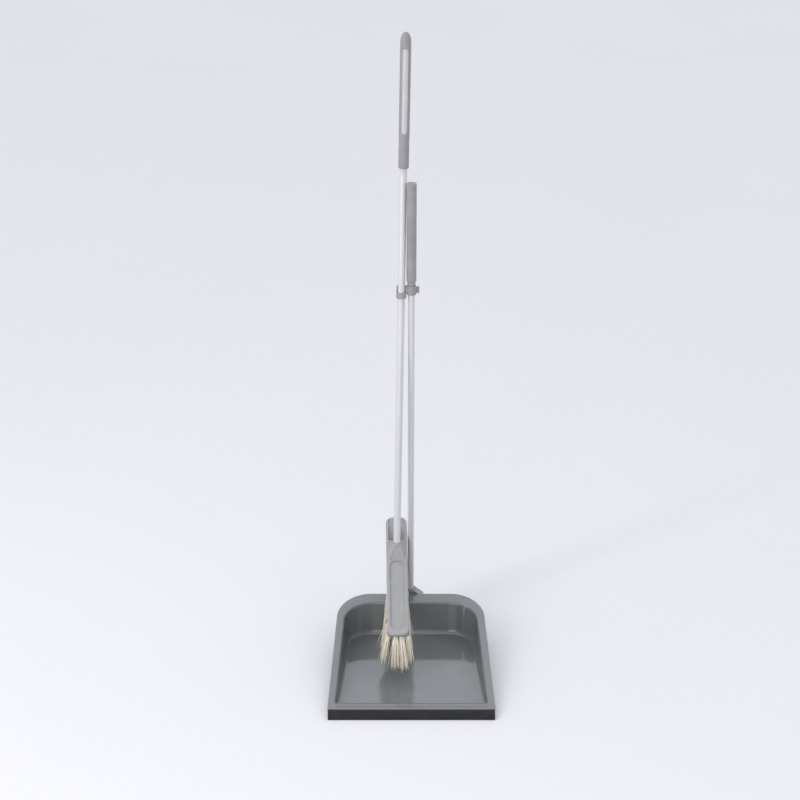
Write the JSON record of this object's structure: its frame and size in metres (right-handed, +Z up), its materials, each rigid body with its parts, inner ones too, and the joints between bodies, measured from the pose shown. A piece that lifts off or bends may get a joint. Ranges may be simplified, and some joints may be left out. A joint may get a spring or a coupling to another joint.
{
  "type": "dustpan and brush set",
  "caption": "Long-handled dustpan with a rubber lip and a long-handled brush, clipped side by side so that the pair stands upright.",
  "frame": {"origin": "middle of the footprint, on the floor that the dustpan stands on", "axes": "+Z up along the poles, -Y out of the dustpan's open front, +X to the right when facing the open front"},
  "size_m": [0.281, 0.3446, 1.0788],
  "materials": {
    "tray": "glossy, injection moulded, mid grey",
    "lip": "matt black soft rubber",
    "pole": "satin light grey coating on thin steel tube",
    "grip": "matt soft-touch grey",
    "grip_core": "glossy light grey",
    "head": "satin moulded grey",
    "bristle": "ivory split-tip filaments",
    "screw": "zinc-plated pan-head screw"
  },
  "bodies": {
    "dustpan": {"dustpan_tray": "tray", "rubber_lip": "lip", "pan_pole": "pole", "pan_pole_screw": "screw", "pan_grip": "grip"},
    "brush": {"brush_head": "head", "bristle_row_1": "bristle", "bristle_row_2": "bristle", "bristle_row_3": "bristle", "bristle_row_4": "bristle", "brush_pole": "pole", "brush_pole_thread_plug": "head", "brush_grip_core": "grip_core", "brush_grip_skin": "grip", "pole_clip": "grip"}
  },
  "joints": [
    {"name": "brush_pull_off", "type": "slide", "parent": "dustpan", "child": "brush", "axis": [0, -1, 0], "range_m": [0, 0.36]}
  ]
}
